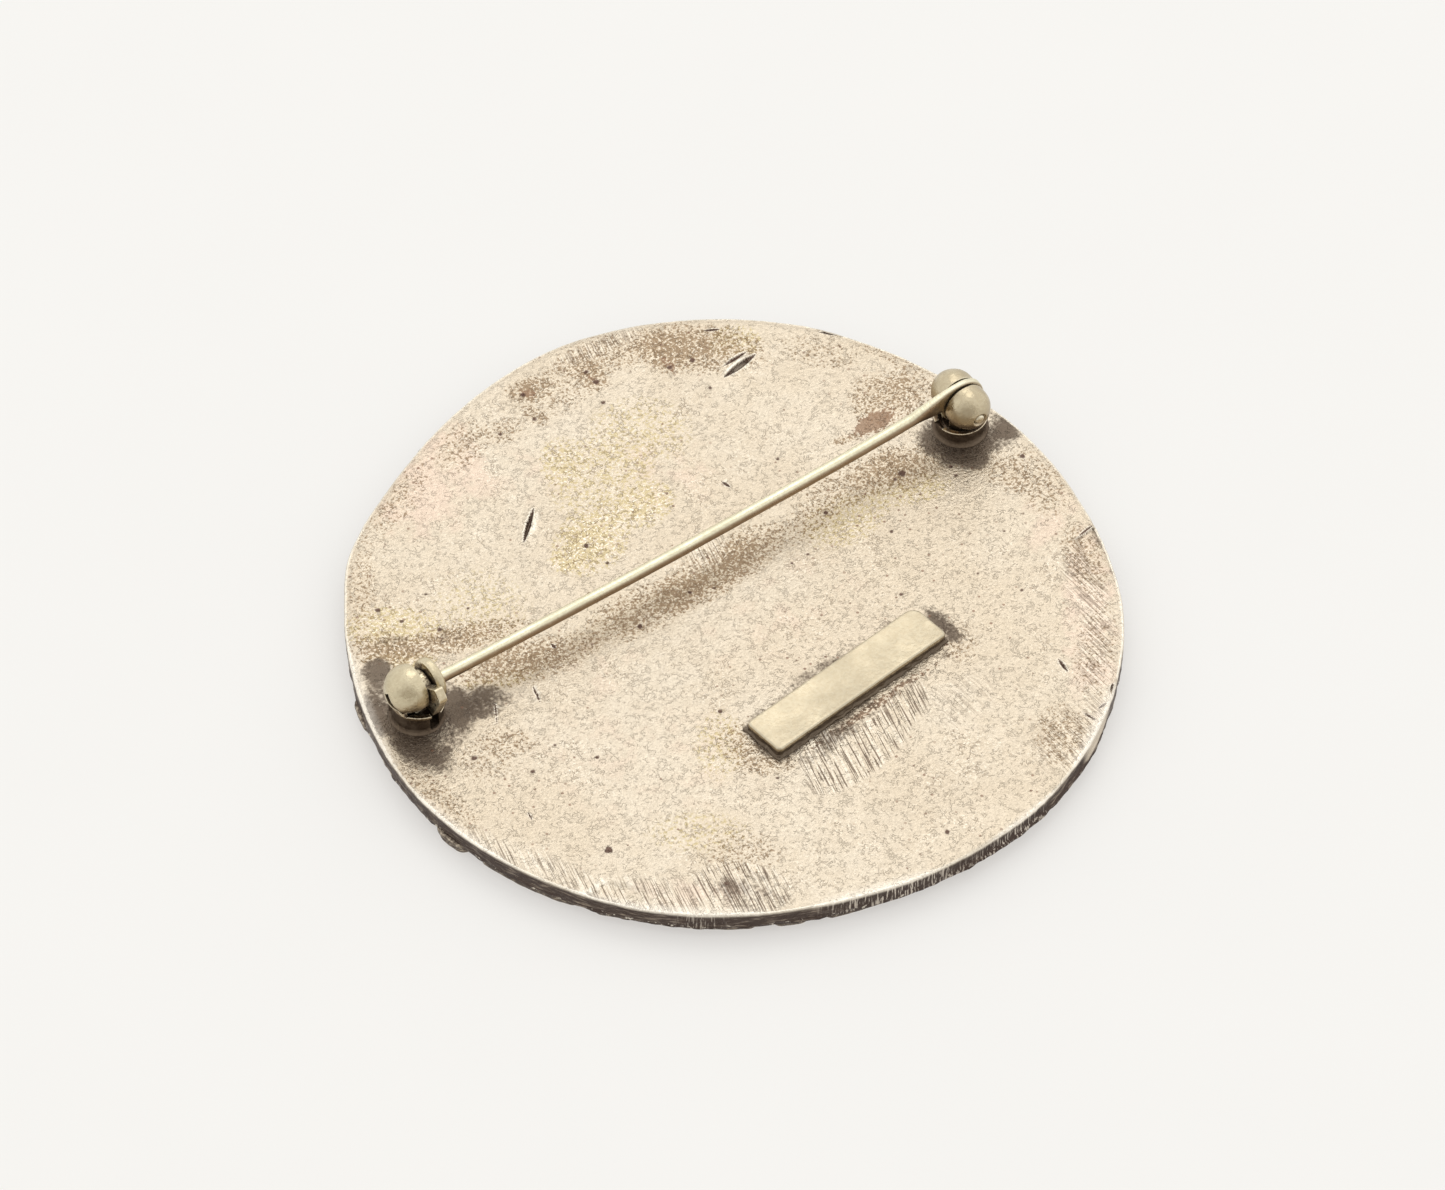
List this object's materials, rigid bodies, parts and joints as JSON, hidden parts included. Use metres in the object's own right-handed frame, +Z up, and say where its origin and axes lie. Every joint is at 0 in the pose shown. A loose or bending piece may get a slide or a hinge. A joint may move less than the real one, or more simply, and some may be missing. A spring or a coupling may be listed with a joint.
{
  "type": "disc brooch",
  "caption": "Cast silver disc brooch with a raised lobed border, a small blank tablet, a riveted swinging pin and a ball safety catch with a turning rotor.",
  "frame": {"origin": "middle of the brooch's box on the surface it lies on, face down", "axes": "+X along the pin from the catch to the hinge, +Z up, out of the brooch's back, and -Y the side where the catch's mouth and the tablet are"},
  "size_m": [0.0494, 0.05, 0.0068],
  "materials": {
    "disc_silver": "worn cast silver with warm tarnish",
    "fitting_silver": "smooth worn silver, slightly yellowed"
  },
  "bodies": {
    "brooch": {"disc": "disc_silver", "hinge_rivet": "fitting_silver"},
    "pin": {"pin_stem": "fitting_silver"},
    "rotor": {"catch_rotor": "fitting_silver"}
  },
  "joints": [
    {"name": "pin_hinge", "type": "hinge", "parent": "brooch", "child": "pin", "pos_m": [0.02141, 0.00449, 0.00495], "axis": [0, 1, 0], "range_deg": [0, 100]},
    {"name": "catch_rotor", "type": "hinge", "parent": "brooch", "child": "rotor", "pos_m": [-0.02057, 0.00449, 0.00465], "axis": [-1, 0, 0], "range_deg": [0, 90]}
  ]
}
